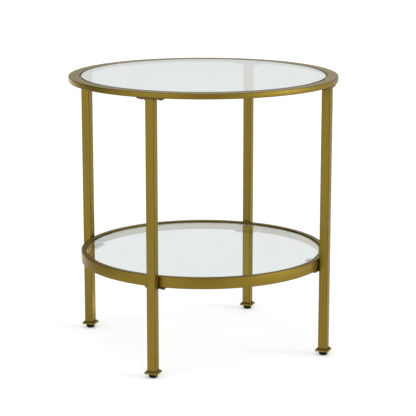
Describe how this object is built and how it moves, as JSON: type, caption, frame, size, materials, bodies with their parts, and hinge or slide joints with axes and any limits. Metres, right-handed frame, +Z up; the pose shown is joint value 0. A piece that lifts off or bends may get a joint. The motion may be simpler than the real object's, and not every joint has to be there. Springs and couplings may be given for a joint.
{
  "type": "tiered side table",
  "caption": "Round side table with an upper and a lower glass disc in painted steel tube rings, on square tube legs with levelling glides.",
  "frame": {"origin": "on the floor, under the centre of the table", "axes": "+Z up; the legs stand on the diagonals between X and Y, so -Y is one open side"},
  "size_m": [0.61, 0.61, 0.628],
  "materials": {
    "gold_paint": "soft old-gold metallic paint, semi-gloss",
    "gold_bolt": "old-gold bolt, satin",
    "clear_glass": "clear tempered glass, ground edge",
    "clear_silicone": "clear silicone",
    "black_plastic": "black moulded nylon",
    "zinc_steel": "zinc plated"
  },
  "bodies": {
    "frame": {"flange_plate_back_left": "gold_paint", "flange_plate_back_right": "gold_paint", "flange_plate_front_left": "gold_paint", "flange_plate_front_right": "gold_paint", "foot_plate_back_left": "gold_paint", "foot_plate_back_right": "gold_paint", "foot_plate_front_left": "gold_paint", "foot_plate_front_right": "gold_paint", "foot_weld_nuts": "zinc_steel", "leg_back_left": "gold_paint", "leg_back_right": "gold_paint", "leg_front_left": "gold_paint", "leg_front_right": "gold_paint", "shelf_bolts": "gold_bolt", "shelf_bracket_back_left": "gold_paint", "shelf_bracket_back_right": "gold_paint", "shelf_bracket_front_left": "gold_paint", "shelf_bracket_front_right": "gold_paint", "shelf_glass_bumpers": "clear_silicone", "shelf_glass_tabs": "gold_paint", "shelf_ring": "gold_paint", "shelf_rivet_nuts": "zinc_steel", "top_bolts": "gold_bolt", "top_glass_bumpers": "clear_silicone", "top_glass_tabs": "gold_paint", "top_ring": "gold_paint", "top_rivet_nuts": "zinc_steel"},
    "upper_disc": {"top_glass": "clear_glass"},
    "lower_disc": {"shelf_glass": "clear_glass"},
    "stem_front_left": {"glide_stem_front_left": "zinc_steel"},
    "pad_front_left": {"glide_pad_front_left": "black_plastic"},
    "stem_front_right": {"glide_stem_front_right": "zinc_steel"},
    "pad_front_right": {"glide_pad_front_right": "black_plastic"},
    "stem_back_right": {"glide_stem_back_right": "zinc_steel"},
    "pad_back_right": {"glide_pad_back_right": "black_plastic"},
    "stem_back_left": {"glide_stem_back_left": "zinc_steel"},
    "pad_back_left": {"glide_pad_back_left": "black_plastic"}
  },
  "joints": [
    {"name": "lift_upper_glass", "type": "slide", "parent": "frame", "child": "upper_disc", "axis": [0, 0, 1], "range_m": [0, 0.05]},
    {"name": "lift_lower_glass", "type": "slide", "parent": "frame", "child": "lower_disc", "axis": [0, 0, 1], "range_m": [0, 0.06]},
    {"name": "level_front_left", "type": "slide", "parent": "frame", "child": "stem_front_left", "axis": [0, 0, -1], "range_m": [0, 0.01]},
    {"name": "turn_front_left", "type": "hinge", "parent": "stem_front_left", "child": "pad_front_left", "pos_m": [-0.20789, -0.20789, 0], "axis": [0, 0, -1], "range_deg": [0, 2880]},
    {"name": "level_front_right", "type": "slide", "parent": "frame", "child": "stem_front_right", "axis": [0, 0, -1], "range_m": [0, 0.01]},
    {"name": "turn_front_right", "type": "hinge", "parent": "stem_front_right", "child": "pad_front_right", "pos_m": [0.20789, -0.20789, 0], "axis": [0, 0, -1], "range_deg": [0, 2880]},
    {"name": "level_back_right", "type": "slide", "parent": "frame", "child": "stem_back_right", "axis": [0, 0, -1], "range_m": [0, 0.01]},
    {"name": "turn_back_right", "type": "hinge", "parent": "stem_back_right", "child": "pad_back_right", "pos_m": [0.20789, 0.20789, 0], "axis": [0, 0, -1], "range_deg": [0, 2880]},
    {"name": "level_back_left", "type": "slide", "parent": "frame", "child": "stem_back_left", "axis": [0, 0, -1], "range_m": [0, 0.01]},
    {"name": "turn_back_left", "type": "hinge", "parent": "stem_back_left", "child": "pad_back_left", "pos_m": [-0.20789, 0.20789, 0], "axis": [0, 0, -1], "range_deg": [0, 2880]}
  ],
  "couplings": [
    {"joint": "turn_front_left", "follows": "level_front_left", "rad_per_m": 5026.5},
    {"joint": "turn_front_right", "follows": "level_front_right", "rad_per_m": 5026.5},
    {"joint": "turn_back_right", "follows": "level_back_right", "rad_per_m": 5026.5},
    {"joint": "turn_back_left", "follows": "level_back_left", "rad_per_m": 5026.5}
  ]
}
